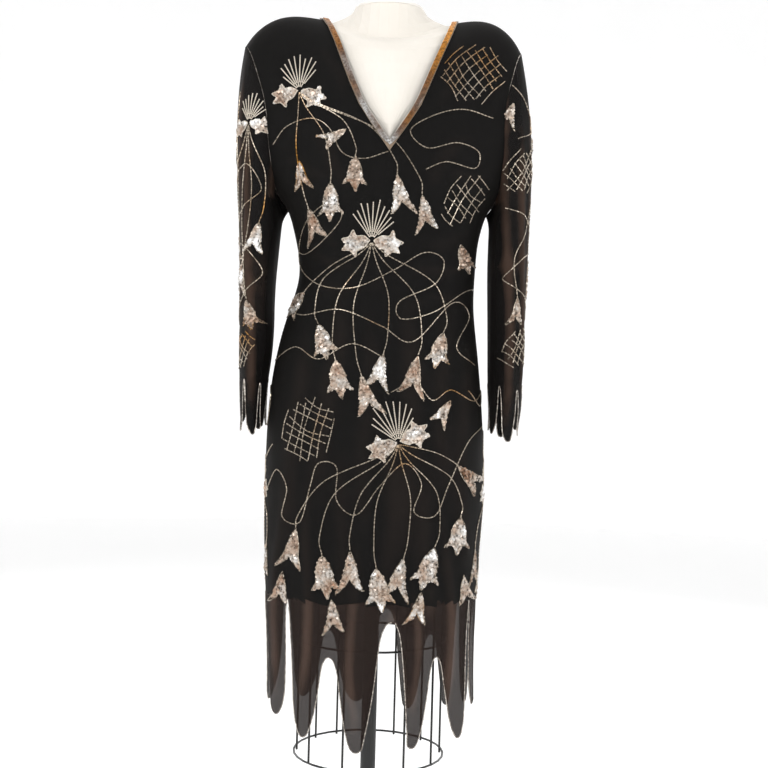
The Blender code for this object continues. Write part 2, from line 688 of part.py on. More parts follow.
turned("form_base", ((0, 0), (BASE_R - 3, 0), (BASE_R, 4), (BASE_R, 12), (BASE_R - 12, 19), (60, BASE_H),
                     (30, BASE_H + 6), (24, BASE_H + 12), (0, BASE_H + 12)), (0, 0), 32, METAL)
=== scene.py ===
import math

import bmesh
import bpy
import numpy as np
from mathutils import Matrix, Vector, noise
from mathutils.bvhtree import BVHTree


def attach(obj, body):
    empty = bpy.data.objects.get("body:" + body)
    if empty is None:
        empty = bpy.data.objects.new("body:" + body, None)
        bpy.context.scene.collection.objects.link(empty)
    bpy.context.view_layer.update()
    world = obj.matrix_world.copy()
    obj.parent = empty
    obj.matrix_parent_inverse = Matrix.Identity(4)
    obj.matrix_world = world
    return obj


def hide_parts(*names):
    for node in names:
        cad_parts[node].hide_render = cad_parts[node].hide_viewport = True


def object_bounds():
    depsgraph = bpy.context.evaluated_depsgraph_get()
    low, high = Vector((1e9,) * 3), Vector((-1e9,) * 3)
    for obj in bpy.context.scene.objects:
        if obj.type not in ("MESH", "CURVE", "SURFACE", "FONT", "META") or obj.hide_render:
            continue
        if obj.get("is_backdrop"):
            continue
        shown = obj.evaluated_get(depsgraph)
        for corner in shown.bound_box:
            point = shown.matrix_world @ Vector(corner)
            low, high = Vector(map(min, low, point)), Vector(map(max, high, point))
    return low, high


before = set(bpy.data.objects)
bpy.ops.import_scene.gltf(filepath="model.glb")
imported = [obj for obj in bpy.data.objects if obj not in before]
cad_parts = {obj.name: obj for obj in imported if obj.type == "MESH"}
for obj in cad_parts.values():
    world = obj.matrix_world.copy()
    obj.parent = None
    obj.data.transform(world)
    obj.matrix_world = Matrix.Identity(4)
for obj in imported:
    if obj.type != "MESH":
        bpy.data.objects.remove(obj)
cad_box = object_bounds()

# The photograph is taken level from about 2 m in front of the dress, with the camera turned a
# degree and a half. One of its 768 pixels is 1.6 mm at the middle of the dress.
CAMERA_AWAY = 2.0
CAMERA_TURN = 0.0264
PIXEL = 0.0016
PICTURE_WIDTH = 768
camera_data = bpy.data.cameras.new("camera")
camera_data.sensor_width = 36.0
camera_data.lens = 36.0 * CAMERA_AWAY / PIXEL / PICTURE_WIDTH
camera = bpy.data.objects.new("camera", camera_data)
bpy.context.scene.collection.objects.link(camera)
camera.matrix_world = (
    Matrix.Translation((0.01008, -CAMERA_AWAY, 0.8126))
    @ Matrix.Rotation(math.pi / 2, 4, "X")
    @ Matrix.Rotation(CAMERA_TURN, 4, "Z")
)
bpy.context.scene.camera = camera
bpy.context.scene.view_settings.view_transform = "Standard"


# The form's torso is a firm shell under pale cotton jersey, pulled smooth. Its fine ribs run up and
# down, and it shows only in the V of the neck and at the back.
def from_hex(value):
    """Linear colour of an sRGB hex value."""
    parts = [int(value[i:i + 2], 16) / 255 for i in (1, 3, 5)]
    return (*[c / 12.92 if c < 0.04045 else ((c + 0.055) / 1.055) ** 2.4 for c in parts], 1.0)


def add_node(tree, kind, inputs=None, **settings):
    """A node with its settings, its input values and its links."""
    made = tree.nodes.new(kind)
    for name, value in settings.items():
        setattr(made, name, value)
    for name, value in (inputs or {}).items():
        if isinstance(value, bpy.types.NodeSocket):
            tree.links.new(value, made.inputs[name])
        else:
            made.inputs[name].default_value = value
    return made


def new_material(name):
    """A material with its tree and its Principled node."""
    made = bpy.data.materials.new(name)
    made.use_nodes = True
    return made, made.node_tree, made.node_tree.nodes["Principled BSDF"]


jersey, tree, skin = new_material("cotton_jersey_pale")
# matt, a little fuzzy; ribs are 1.1 mm apart, drawn at 4 mm so that they show
place = add_node(tree, "ShaderNodeTexCoord")
ribs = add_node(tree, "ShaderNodeTexWave", {"Vector": place.outputs["Object"], "Scale": 80.0,
                                            "Distortion": 0.6, "Detail": 1.0}, bands_direction="X")
cloud = add_node(tree, "ShaderNodeTexNoise", {"Vector": place.outputs["Object"], "Scale": 14.0,
                                              "Detail": 3.0})
tone = add_node(tree, "ShaderNodeValToRGB", {"Fac": cloud.outputs["Fac"]})
tone.color_ramp.elements[0].color = from_hex("#D8D2C8")
tone.color_ramp.elements[1].color = from_hex("#E7E2DA")
press = add_node(tree, "ShaderNodeBump", {"Height": ribs.outputs["Fac"], "Strength": 0.12,
                                          "Distance": 0.0004})
tree.links.new(tone.outputs["Color"], skin.inputs["Base Color"])
tree.links.new(press.outputs["Normal"], skin.inputs["Normal"])
skin.inputs["Roughness"].default_value = 0.9
skin.inputs["Sheen Weight"].default_value = 0.2
skin.inputs["Specular IOR Level"].default_value = 0.2

# The neck is closed by a turned wooden cap, lacquered white. Its grain shows a little through.
lacquer, tree, skin = new_material("wood_lacquered_white")
place = add_node(tree, "ShaderNodeTexCoord")
stretch = add_node(tree, "ShaderNodeMapping", {"Vector": place.outputs["Object"], "Scale": (1.0, 7.0, 7.0)})
grain = add_node(tree, "ShaderNodeTexNoise", {"Vector": stretch.outputs["Vector"], "Scale": 42.0,
                                              "Detail": 6.0, "Distortion": 0.5})
tone = add_node(tree, "ShaderNodeValToRGB", {"Fac": grain.outputs["Fac"]})
tone.color_ramp.elements[0].color = from_hex("#E9E5DD")
tone.color_ramp.elements[1].color = from_hex("#F6F3EE")
tree.links.new(tone.outputs["Color"], skin.inputs["Base Color"])
press = add_node(tree, "ShaderNodeBump", {"Height": grain.outputs["Fac"], "Strength": 0.1,
                                          "Distance": 0.0003})
tree.links.new(press.outputs["Normal"], skin.inputs["Normal"])
skin.inputs["Roughness"].default_value = 0.3

# The cage is 3.5 mm steel wire, welded and dipped in black enamel. It shows through the sheer hem.
enamel, tree, skin = new_material("steel_wire_black_enamel")
place = add_node(tree, "ShaderNodeTexCoord")
drips = add_node(tree, "ShaderNodeTexNoise", {"Vector": place.outputs["Object"], "Scale": 90.0,
                                              "Detail": 3.0})
gloss = add_node(tree, "ShaderNodeMapRange", {"Value": drips.outputs["Fac"], "To Min": 0.28, "To Max": 0.5})
press = add_node(tree, "ShaderNodeBump", {"Height": drips.outputs["Fac"], "Strength": 0.15,
                                          "Distance": 0.0004})
tree.links.new(gloss.outputs["Result"], skin.inputs["Roughness"])
tree.links.new(press.outputs["Normal"], skin.inputs["Normal"])
skin.inputs["Base Color"].default_value = from_hex("#0C0B0B")

# Pole, collar and foot are steel and cast iron under black powder coat, with a fine orange peel and
# paler rubbed patches on the foot.
coat, tree, skin = new_material("cast_iron_black_powder_coat")
place = add_node(tree, "ShaderNodeTexCoord")
peel = add_node(tree, "ShaderNodeTexNoise", {"Vector": place.outputs["Object"], "Scale": 420.0,
                                             "Detail": 2.0})
rubbed = add_node(tree, "ShaderNodeTexNoise", {"Vector": place.outputs["Object"], "Scale": 9.0,
                                               "Detail": 4.0})
tone = add_node(tree, "ShaderNodeValToRGB", {"Fac": rubbed.outputs["Fac"]})
tone.color_ramp.elements[0].position, tone.color_ramp.elements[0].color = 0.45, from_hex("#121212")
tone.color_ramp.elements[1].position, tone.color_ramp.elements[1].color = 0.75, from_hex("#2B2A29")
press = add_node(tree, "ShaderNodeBump", {"Height": peel.outputs["Fac"], "Strength": 0.25,
                                          "Distance": 0.0003})
gloss = add_node(tree, "ShaderNodeMapRange", {"Value": rubbed.outputs["Fac"], "To Min": 0.4, "To Max": 0.6})
tree.links.new(tone.outputs["Color"], skin.inputs["Base Color"])
tree.links.new(press.outputs["Normal"], skin.inputs["Normal"])
tree.links.new(gloss.outputs["Result"], skin.inputs["Roughness"])
for name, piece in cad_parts.items():
    if name.startswith(("cage", "form")):
        metal = enamel if name.startswith("cage") else coat
        finish = {"form_torso": jersey, "form_neck_cap": lacquer}.get(name, metal)
        piece.data.materials.clear()
        piece.data.materials.append(finish)
        piece.data.shade_smooth()
        piece.data.set_sharp_from_angle(angle=math.radians(40))


# The slip lining is opaque black crepe, cut on its own plain line a little inside the outer cloth.
# It ends in a straight narrow hem above the tongues.
ROUNDING = 2
LINING_WALL = 0.0006


def islands(mesh):
    """Faces of a wall, grouped where no sharp edge parts them."""
    left = set(mesh.faces)
    while left:
        start = left.pop()
        group, queue = [start], [start]
        while queue:
            for edge in queue.pop().edges:
                if len(edge.link_faces) == 2 and edge.calc_face_angle(0) < 1.0:
                    for face in edge.link_faces:
                        if face in left:
                            left.discard(face)
                            group.append(face)
                            queue.append(face)
        yield group


def outer_side(name, middle):
    """The outer side of a CAD wall, as one sheet of squares. middle is where its hollow is, in x."""
    mesh = bmesh.new()
    mesh.from_mesh(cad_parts[name].data)
    bmesh.ops.remove_doubles(mesh, verts=mesh.verts, dist=2e-5)
    best = []
    for group in islands(mesh):
        facing = 0
        for f in group:
            at = f.calc_center_median()
            facing += f.calc_area() * (f.normal.x * (at.x - middle) + f.normal.y * at.y)
        best.append((facing, group))
    keep = set(max(best, key=lambda b: b[0])[1])
    bmesh.ops.delete(mesh, geom=[f for f in mesh.faces if f not in keep], context="FACES")
    bmesh.ops.join_triangles(mesh, faces=mesh.faces, angle_face_threshold=0.9, angle_shape_threshold=1.3)
    return mesh


def finished(name, mesh):
    """A smooth-shaded piece made of a bmesh, which is freed."""
    made = bpy.data.meshes.new(name)
    mesh.to_mesh(made)
    mesh.free()
    piece = bpy.data.objects.new(name, made)
    bpy.context.scene.collection.objects.link(piece)
    made.shade_smooth()
    return piece


def apply_all(piece):
    """Applies a piece's modifiers in their order."""
    bpy.ops.object.select_all(action="DESELECT")
    bpy.context.view_layer.objects.active = piece
    piece.select_set(True)
    for each in [m.name for m in piece.modifiers]:
        bpy.ops.object.modifier_apply(modifier=each)


def smooth_sheet(name, node, middle):
    """The outer side of a node, rounded, its corners at the seams kept."""
    mesh = outer_side(node, middle)
    crease = mesh.verts.layers.float.new("crease_vert")
    for v in mesh.verts:
        rim = [e for e in v.link_edges if e.is_boundary]
        if len(rim) == 2 and v.co.z > 0.95:
            a, b = rim[0].other_vert(v).co - v.co, rim[1].other_vert(v).co - v.co
            if a.angle(b) < math.radians(140):
                v[crease] = 1.0
    piece = finished(name, mesh)
    more = piece.modifiers.new("round", "SUBSURF")
    more.levels = more.render_levels = ROUNDING
    apply_all(piece)
    return piece


def thicken(piece, wall):
    """Gives a sheet its wall, inwards."""
    wall_maker = piece.modifiers.new("wall", "SOLIDIFY")
    wall_maker.thickness = wall
    wall_maker.offset = -1.0
    apply_all(piece)


crepe, tree, skin = new_material("crepe_lining_black")
# matt and even, with a fine pebble from its twisted yarn; pebbles are 0.5 mm, drawn at 1.5 mm
place = add_node(tree, "ShaderNodeTexCoord")
pebble = add_node(tree, "ShaderNodeTexNoise", {"Vector": place.outputs["Object"], "Scale": 700.0,
                                               "Detail": 2.0})
press = add_node(tree, "ShaderNodeBump", {"Height": pebble.outputs["Fac"], "Strength": 0.3,
                                          "Distance": 0.0003})
tree.links.new(press.outputs["Normal"], skin.inputs["Normal"])
skin.inputs["Base Color"].default_value = from_hex("#0B0A0A")
skin.inputs["Roughness"].default_value = 0.9
skin.inputs["Specular IOR Level"].default_value = 0.15
for word in ("front", "back"):
    slip = smooth_sheet("slip_" + word, "lining_" + word, 0.0)
    thicken(slip, LINING_WALL)
    slip.data.materials.append(crepe)
    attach(slip, "root")
    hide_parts("lining_" + word)

# The outer cloth is one front and one back panel of sheer black crepe chiffon. It clings over the
# lining with soft uneven folds, and its hem is cut into long round-ended tongues.
CHIFFON_WALL = 0.0004
LINING_END = 0.4815
# Main folds: front (-1) or back (1), x and z of both ends, width, height, all in mm
FOLDS = (
    (-1, -112, 1196, -38, 1106, 20, 1.8), (-1, -150, 1150, -84, 1128, 16, 1.6),
    (-1, 128, 1198, 66, 1112, 22, 1.7), (-1, 158, 1140, 100, 1122, 15, 1.5),
    (-1, -96, 1338, -64, 1252, 17, 1.3), (-1, 118, 1352, 86, 1240, 18, 1.4),
    (-1, -118, 1008, -30, 992, 13, 1.5), (-1, 132, 1002, 52, 978, 12, 1.7),
    (-1, -104, 966, 8, 956, 14, 1.3), (-1, 128, 948, 40, 936, 12, 1.2),
    (-1, -126, 1064, -62, 1024, 15, 1.6), (-1, 138, 1058, 74, 1014, 16, 1.4),
    (-1, -62, 930, -84, 648, 26, 2.4), (-1, -18, 912, -12, 590, 24, 1.9), (-1, 44, 924, 52, 560, 28, 2.5),
    (-1, 96, 930, 108, 640, 22, 2.2), (-1, -118, 880, -128, 560, 24, 2.4), (-1, 134, 860, 140, 540, 20, 2.2),
    (-1, 18, 760, 24, 500, 20, 1.8), (-1, -46, 700, -52, 470, 20, 2.0), (-1, 78, 690, 84, 460, 22, 2.2),
    (-1, -96, 640, -104, 330, 13, 2.6), (-1, -30, 560, -22, 300, 14, 2.4), (-1, 36, 470, 44, 300, 13, 2.8),
    (-1, 62, 520, 70, 320, 11, 2.2), (-1, 112, 600, 120, 310, 13, 2.8), (-1, -142, 620, -150, 330, 12, 2.4),
    (1, -120, 1190, -50, 1090, 22, 1.8), (1, 126, 1180, 58, 1086, 20, 1.7),
    (1, -80, 1290, -96, 1210, 18, 1.4), (1, 92, 1300, 104, 1216, 17, 1.3),
    (1, -104, 1010, 6, 1000, 13, 1.6), (1, 118, 996, 20, 984, 13, 1.5), (1, -116, 968, -34, 958, 12, 1.3),
    (1, 8, 1060, 4, 960, 16, 1.2), (1, -88, 920, -100, 620, 26, 2.4), (1, -36, 900, -40, 570, 25, 2.1),
    (1, 26, 916, 30, 600, 27, 2.4), (1, 84, 920, 96, 580, 24, 2.3), (1, 126, 870, 134, 560, 21, 2.1),
    (1, -128, 860, -138, 560, 20, 2.2), (1, -60, 640, -66, 420, 18, 2.2), (1, 58, 660, 62, 430, 19, 2.1),
    (1, -6, 560, -4, 320, 14, 2.5), (1, -108, 480, -112, 310, 12, 2.4), (1, 104, 500, 112, 320, 13, 2.6),
    (1, 42, 420, 44, 300, 11, 2.2),
)


def settle(piece, shape, shown):
    """Moves each point out along its normal by shape(point) in mm; stores a painted highlight, lighter where
    a fold stands higher, scaled by shown(z).
    """
    mesh = piece.data
    normals = [v.normal.copy() for v in mesh.vertices]
    painted_fold_highlight = mesh.attributes.new("painted_fold_highlight", "FLOAT", "POINT")
    for v, n, crest_highlight in zip(mesh.vertices, normals, painted_fold_highlight.data):
        height = shape(v.co * 1000)
        v.co += n * height / 1000
        crest_highlight.value = height / 3 * shown(v.co.z)
    mesh.update()


def panel_folds(p):
    face = -1 if p.y < 0 else 1
    near_side = min(abs(p.y) / 34, 1.0)
    out = 0.0
    for which, x0, z0, x1, z1, width, height in FOLDS:
        if which != face or abs(p.z - (z0 + z1) / 2) > abs(z0 - z1) / 2 + 40:
            continue
        along = Vector((x1 - x0, z1 - z0))
        rel = Vector((p.x - x0, p.z - z0))
        t = rel.dot(along) / along.length_squared
        if -0.12 < t < 1.12:
            sway = 6 * math.sin(t * 5 + x0)
            far = (rel.x * along.y - rel.y * along.x) / along.length + sway
            end = min(1.0, (t + 0.12) / 0.3, (1.12 - t) / 0.3)
            out += height * end * math.exp(-(far / width * 1.6) ** 2)
    out += 0.5 * noise.noise(p / 38) + 0.25 * noise.noise(p / 13)
    return max(out, -0.5) * near_side * min(1.0, max(0.0, (1390 - p.z) / 60))


cloths = []
for title, low, high, cover in (
    ("chiffon_black_over_lining", "#080706", "#16110E", 1.0),
    ("chiffon_black_single", "#241B17", "#5A473D", 0.78),
    ("chiffon_black_sleeve", "#0B0908", "#3A2C24", 0.95),
):
    chiffon, tree, skin = new_material(title)
    # matt and crinkled: black over the lining, brownish and sheer in the hem, denser in the sleeves,
    # whose folds lie close. The fold crests are painted lighter, a painted highlight. Yarns are 0.3 mm
    # apart, drawn as 7 mm crinkles
    place = add_node(tree, "ShaderNodeTexCoord")
    warp = add_node(tree, "ShaderNodeMapping", {"Vector": place.outputs["Object"],
                                                "Scale": (1.0, 1.0, 0.12)})
    crinkle = add_node(tree, "ShaderNodeTexNoise", {"Vector": warp.outputs["Vector"], "Scale": 150.0,
                                                    "Detail": 2.0})
    press = add_node(tree, "ShaderNodeBump", {"Height": crinkle.outputs["Fac"], "Strength": 0.2,
                                              "Distance": 0.001})
    # painted highlight: the higher a fold stands, the lighter and browner its colour
    painted_fold_highlight = add_node(tree, "ShaderNodeAttribute", attribute_name="painted_fold_highlight")
    tone = add_node(tree, "ShaderNodeValToRGB", {"Fac": painted_fold_highlight.outputs["Fac"]})
    tone.color_ramp.elements[0].position, tone.color_ramp.elements[0].color = 0.15, from_hex(low)
    tone.color_ramp.elements[1].position, tone.color_ramp.elements[1].color = 0.95, from_hex(high)
    tree.links.new(tone.outputs["Color"], skin.inputs["Base Color"])
    tree.links.new(press.outputs["Normal"], skin.inputs["Normal"])
    skin.inputs["Roughness"].default_value = 0.8
    skin.inputs["Specular IOR Level"].default_value = 0.15
    skin.inputs["Sheen Weight"].default_value = 0.03
    skin.inputs["Sheen Roughness"].default_value = 0.5
    skin.inputs["Sheen Tint"].default_value = from_hex("#8A776A")
    skin.inputs["Alpha"].default_value = cover
    cloths.append(chiffon)

sheets = {}


def keep_sheet(piece):
    """Remembers a sheet's outer side and its edge, to sew beads on."""
    mesh = bmesh.new()
    mesh.from_mesh(piece.data)
    mesh.normal_update()
    rim = {}
    for e in mesh.edges:
        if e.is_boundary:
            a, b = e.verts
            rim.setdefault(a, []).append(b)
            rim.setdefault(b, []).append(a)
    loops = []
    while rim:
        start = next(iter(rim))
        loop, last, here = [], None, start
        while here in rim:
            loop.append((here.co.copy(), here.normal.copy()))
            ways = rim.pop(here)
            step = [w for w in ways if w is not last and w in rim]
            if not step:
                break
            last, here = here, step[0]
        loops.append(loop)
    sheets[piece.name] = (BVHTree.FromBMesh(mesh), max(loops, key=len))
    mesh.free()


for word in ("front", "back"):
    cloth = smooth_sheet(word + "_cloth", word + "_panel", 0.0)
    # the painted fold highlight is weaker below about 490 mm, in the sheer hem
    settle(cloth, panel_folds, lambda z: 1.0 if z > 0.49 else 0.7)
    keep_sheet(cloth)
    thicken(cloth, CHIFFON_WALL)
    for chiffon in cloths[:2]:
        cloth.data.materials.append(chiffon)
    for face in cloth.data.polygons:
        face.material_index = int(face.center.z < LINING_END)
    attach(cloth, "root")
    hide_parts(word + "_panel")

# Each sleeve is the same sheer cloth, unlined, in a front and a back half. It hangs empty in long
# soft folds, and its cuff is cut into fingers.
SLEEVE_MIDDLE = 197
# Folds: side, degrees round it, top and bottom in mm, width in degrees, height in mm
SLEEVE_FOLDS = (
    (-1, 62, 1230, 880, 9, 2.2), (-1, 98, 1180, 800, 8, 2.6), (-1, 128, 1290, 930, 10, 2.0),
    (-1, 36, 1050, 780, 9, 2.2), (-1, 236, 1220, 840, 10, 2.4), (-1, 272, 1160, 790, 9, 2.6),
    (-1, 308, 1100, 860, 10, 2.0), (-1, 204, 1260, 900, 9, 2.0), (1, 54, 1210, 860, 9, 2.4),
    (1, 88, 1250, 790, 8, 2.4), (1, 120, 1170, 830, 9, 2.6), (1, 146, 1280, 960, 8, 1.8),
    (1, 230, 1240, 880, 9, 2.2), (1, 262, 1190, 800, 10, 2.6), (1, 300, 1120, 820, 9, 2.2),
    (1, 332, 1040, 860, 8, 1.8),
)
# Creases at the elbows: side, how high, degrees round it, height
ELBOWS = ((-1, 992, 70, 1.6), (-1, 968, 110, 1.3), (1, 1002, 80, 1.5), (1, 976, 250, 1.6),
          (-1, 984, 260, 1.5))


def sleeve_folds(p):
    side = -1 if p.x < 0 else 1
    angle = math.degrees(math.atan2(-p.y, side * p.x - SLEEVE_MIDDLE)) % 360
    angle = (180 - angle) % 360
    out = 0.0
    for which, a, top, bottom, width, height in SLEEVE_FOLDS:
        if which == side and bottom - 60 < p.z < top + 60:
            off = (angle - a - 9 * math.sin(p.z / 110 + a) + 180) % 360 - 180
            end = min(1.0, (top + 60 - p.z) / 90, (p.z - bottom + 60) / 90)
            out += height * end * math.exp(-(off / width) ** 2)
    for which, z, a, height in ELBOWS:
        if which == side:
            off = (angle - a + 180) % 360 - 180
            out += height * math.exp(-(off / 45) ** 2 - ((p.z - z - off / 6) / 8) ** 2)
    out += 0.6 * noise.noise(p / 30) + 0.3 * noise.noise(p / 11)
    seam = min(1.0, abs(p.y) / 14)
    body = min(1.0, max(0.0, (side * p.x - 180) / 14)) if p.z < 1100 else 1.0
    return out * seam * (0.25 + 0.75 * body) * min(1.0, max(0.0, (1330 - p.z) / 60))


for hand, side in (("left", -1), ("right", 1)):
    for word in ("front", "back"):
        node = f"sleeve_{hand}_{word}"
        cloth = smooth_sheet(node + "_cloth", node, side * SLEEVE_MIDDLE / 1000)
        settle(cloth, sleeve_folds, lambda z: 1.0)
        keep_sheet(cloth)
        thicken(cloth, CHIFFON_WALL)
        cloth.data.materials.append(cloths[2])
        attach(cloth, "root")
        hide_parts(node)

# The neck edge is bound with a flat strip, covered in close rows of bugle beads that turn from gold
# at the shoulders to silver at the point of the V.
strip, tree, skin = new_material("satin_binding_champagne")
# satin that shows between the beads: a soft sheen, its weave drawn as 2 mm diagonals
place = add_node(tree, "ShaderNodeTexCoord")
weave = add_node(tree, "ShaderNodeTexWave", {"Vector": place.outputs["Object"], "Scale": 300.0,
                                             "Distortion": 1.0}, bands_direction="DIAGONAL")
press = add_node(tree, "ShaderNodeBump", {"Height": weave.outputs["Fac"], "Strength": 0.2,
                                          "Distance": 0.0003})
tree.links.new(press.outputs["Normal"], skin.inputs["Normal"])
skin.inputs["Base Color"].default_value = from_hex("#7D6A55")
skin.inputs["Roughness"].default_value = 0.5
skin.inputs["Sheen Weight"].default_value = 0.3
for name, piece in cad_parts.items():
    if name.startswith("neck_binding"):
        piece.data.materials.clear()
        piece.data.materials.append(strip)

glass, tree, skin = new_material("glass_beads_silver_lined")
# glass tubes lined with silver: bright, a little warm, gold in patches a hand wide. Specks darken
# single beads by plain factors
place = add_node(tree, "ShaderNodeTexCoord")
patch = add_node(tree, "ShaderNodeTexNoise", {"Vector": place.outputs["Object"], "Scale": 7.0,
                                              "Detail": 2.0})
speck = add_node(tree, "ShaderNodeTexNoise", {"Vector": place.outputs["Object"], "Scale": 330.0,
                                              "Detail": 1.0})
high = add_node(tree, "ShaderNodeSeparateXYZ", {"Vector": place.outputs["Object"]})
rise = add_node(tree, "ShaderNodeMapRange", {"Value": high.outputs["Z"], "From Min": 1.05, "From Max": 1.36,
                                             "To Min": -0.1, "To Max": 0.16})
sum_up = add_node(tree, "ShaderNodeMath", {0: patch.outputs["Fac"], 1: rise.outputs["Result"]},
                  operation="ADD")
gold = add_node(tree, "ShaderNodeValToRGB", {"Fac": sum_up.outputs["Value"]})
gold.color_ramp.elements[0].position, gold.color_ramp.elements[0].color = 0.52, from_hex("#BDB1A0")
gold.color_ramp.elements[1].position, gold.color_ramp.elements[1].color = 0.66, from_hex("#C08A3A")
shade = add_node(tree, "ShaderNodeValToRGB", {"Fac": speck.outputs["Fac"]})
shade.color_ramp.elements[0].position, shade.color_ramp.elements[0].color = 0.35, (0.3, 0.28, 0.26, 1)
shade.color_ramp.elements[1].position, shade.color_ramp.elements[1].color = 0.6, (1, 1, 1, 1)
tint = add_node(tree, "ShaderNodeMix", {0: 1.0, 6: gold.outputs["Color"], 7: shade.outputs["Color"]},
                data_type="RGBA", blend_type="MULTIPLY")
tree.links.new(tint.outputs[2], skin.inputs["Base Color"])
skin.inputs["Metallic"].default_value = 0.55
skin.inputs["Roughness"].default_value = 0.22


def tube_bead(radius, length):
    """Points and faces of one six-sided bead lying along X, modelled once."""
    bpy.ops.object.select_all(action="DESELECT")
    bpy.ops.mesh.primitive_cylinder_add(vertices=6, radius=radius, depth=length,
                                        rotation=(0, math.pi / 2, 0))
    made = bpy.context.active_object
    bpy.ops.object.transform_apply(location=False, rotation=True)
    points = np.array([v.co[:] for v in made.data.vertices])
    faces = [tuple(f.vertices) for f in made.data.polygons]
    bpy.data.objects.remove(made, do_unlink=True)
    return points, faces


def sew(name, template, spots, material, tints=None):
    """One mesh with the template at each spot: a place, the way it lies and the way it faces."""
    points, faces = template
    verts = np.empty((len(spots), len(points), 3))
    for i, (at, way, up) in enumerate(spots):
        x = np.array(way) / max(np.linalg.norm(way), 1e-9)
        z = np.array(up) - x * np.dot(up, x)
        z /= max(np.linalg.norm(z), 1e-9)
        verts[i] = np.array(at) + points @ np.array([x, np.cross(z, x), z])
    mesh = bpy.data.meshes.new(name)
    count = len(points)
    every_face = [tuple(k + i * count for k in f) for i in range(len(spots)) for f in faces]
    mesh.from_pydata(verts.reshape(-1, 3).tolist(), [], every_face)
    if tints is not None:
        layer = mesh.attributes.new("tint", "FLOAT", "FACE")
        layer.data.foreach_set("value", np.repeat(tints, len(faces)).astype(np.float32))
    mesh.materials.append(material)
    piece = bpy.data.objects.new(name, mesh)
    bpy.context.scene.collection.objects.link(piece)
    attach(piece, "root")
    return piece


def along(points, pitch):
    """Beads' places and ways along a line of (place, normal) pairs."""
    spots, left = [], pitch / 2
    for (a, na), (b, nb) in zip(points, points[1:]):
        run = (b - a).length
        while left <= run:
            t = left / run
            spots.append((a.lerp(b, t), b - a, na.lerp(nb, t)))
            left += pitch
        left -= run
    return spots


def rim_part(name, test):
    """Stretches of a sheet's edge where test holds, each a list of (place, normal)."""
    loop = sheets[name][1]
    start = next((i for i, (p, n) in enumerate(loop) if not test(p * 1000)), 0)
    loop = loop[start:] + loop[:start]
    parts, now = [], []
    for p, n in loop:
        if test(p * 1000):
            now.append((p, n))
        elif now:
            parts.append(now)
            now = []
    if now:
        parts.append(now)
    return [part for part in parts if len(part) > 2]


bronze, tree, skin = new_material("glass_beads_bronze_gold")
# the neck's own beads: bronze and gold, turning to mirror silver at the point of the V
place = add_node(tree, "ShaderNodeTexCoord")
patch = add_node(tree, "ShaderNodeTexNoise", {"Vector": place.outputs["Object"], "Scale": 16.0,
                                              "Detail": 2.0})
speck = add_node(tree, "ShaderNodeTexNoise", {"Vector": place.outputs["Object"], "Scale": 260.0,
                                              "Detail": 1.0})
high = add_node(tree, "ShaderNodeSeparateXYZ", {"Vector": place.outputs["Object"]})
rise = add_node(tree, "ShaderNodeMapRange", {"Value": high.outputs["Z"], "From Min": 1.18, "From Max": 1.37,
                                             "To Min": -0.28, "To Max": 0.16})
right = add_node(tree, "ShaderNodeMapRange", {"Value": high.outputs["X"], "From Min": -0.02,
                                              "From Max": 0.04, "To Min": -0.05, "To Max": 0.12})
both = add_node(tree, "ShaderNodeMath", {0: patch.outputs["Fac"], 1: rise.outputs["Result"]},
                operation="ADD")
total = add_node(tree, "ShaderNodeMath", {0: both.outputs["Value"], 1: right.outputs["Result"]},
                 operation="ADD")
tone = add_node(tree, "ShaderNodeValToRGB", {"Fac": total.outputs["Value"]})
tone.color_ramp.elements[0].position, tone.color_ramp.elements[0].color = 0.22, from_hex("#DAD9D8")
tone.color_ramp.elements[1].position, tone.color_ramp.elements[1].color = 0.74, from_hex("#E2A044")
for at, shade in ((0.36, "#9A8272"), (0.52, "#A8774A"), (0.62, "#C68C48")):
    tone.color_ramp.elements.new(at).color = from_hex(shade)
shade = add_node(tree, "ShaderNodeValToRGB", {"Fac": speck.outputs["Fac"]})
shade.color_ramp.elements[0].position, shade.color_ramp.elements[0].color = 0.38, (0.52, 0.49, 0.46, 1)
shade.color_ramp.elements[1].position, shade.color_ramp.elements[1].color = 0.58, (1, 1, 1, 1)
tint = add_node(tree, "ShaderNodeMix", {0: 1.0, 6: tone.outputs["Color"], 7: shade.outputs["Color"]},
                data_type="RGBA", blend_type="MULTIPLY")
tree.links.new(tint.outputs[2], skin.inputs["Base Color"])
skin.inputs["Metallic"].default_value = 0.5
skin.inputs["Roughness"].default_value = 0.28
# radius and length of a bead, in metres, and how far apart a line's beads start
bugle, BUGLE_PITCH = tube_bead(0.0009, 0.0050), 0.0060
small, EDGE_PITCH = tube_bead(0.00085, 0.0019), 0.0024
NECK_ROWS, NECK_PITCH = 4, 0.0056


def at_neck(p):
    """Whether a point of a panel's edge, in mm, lies on the neck."""
    return p.z > 1150 and abs(p.x - 4) < 100.6 and abs(p.x) < 103


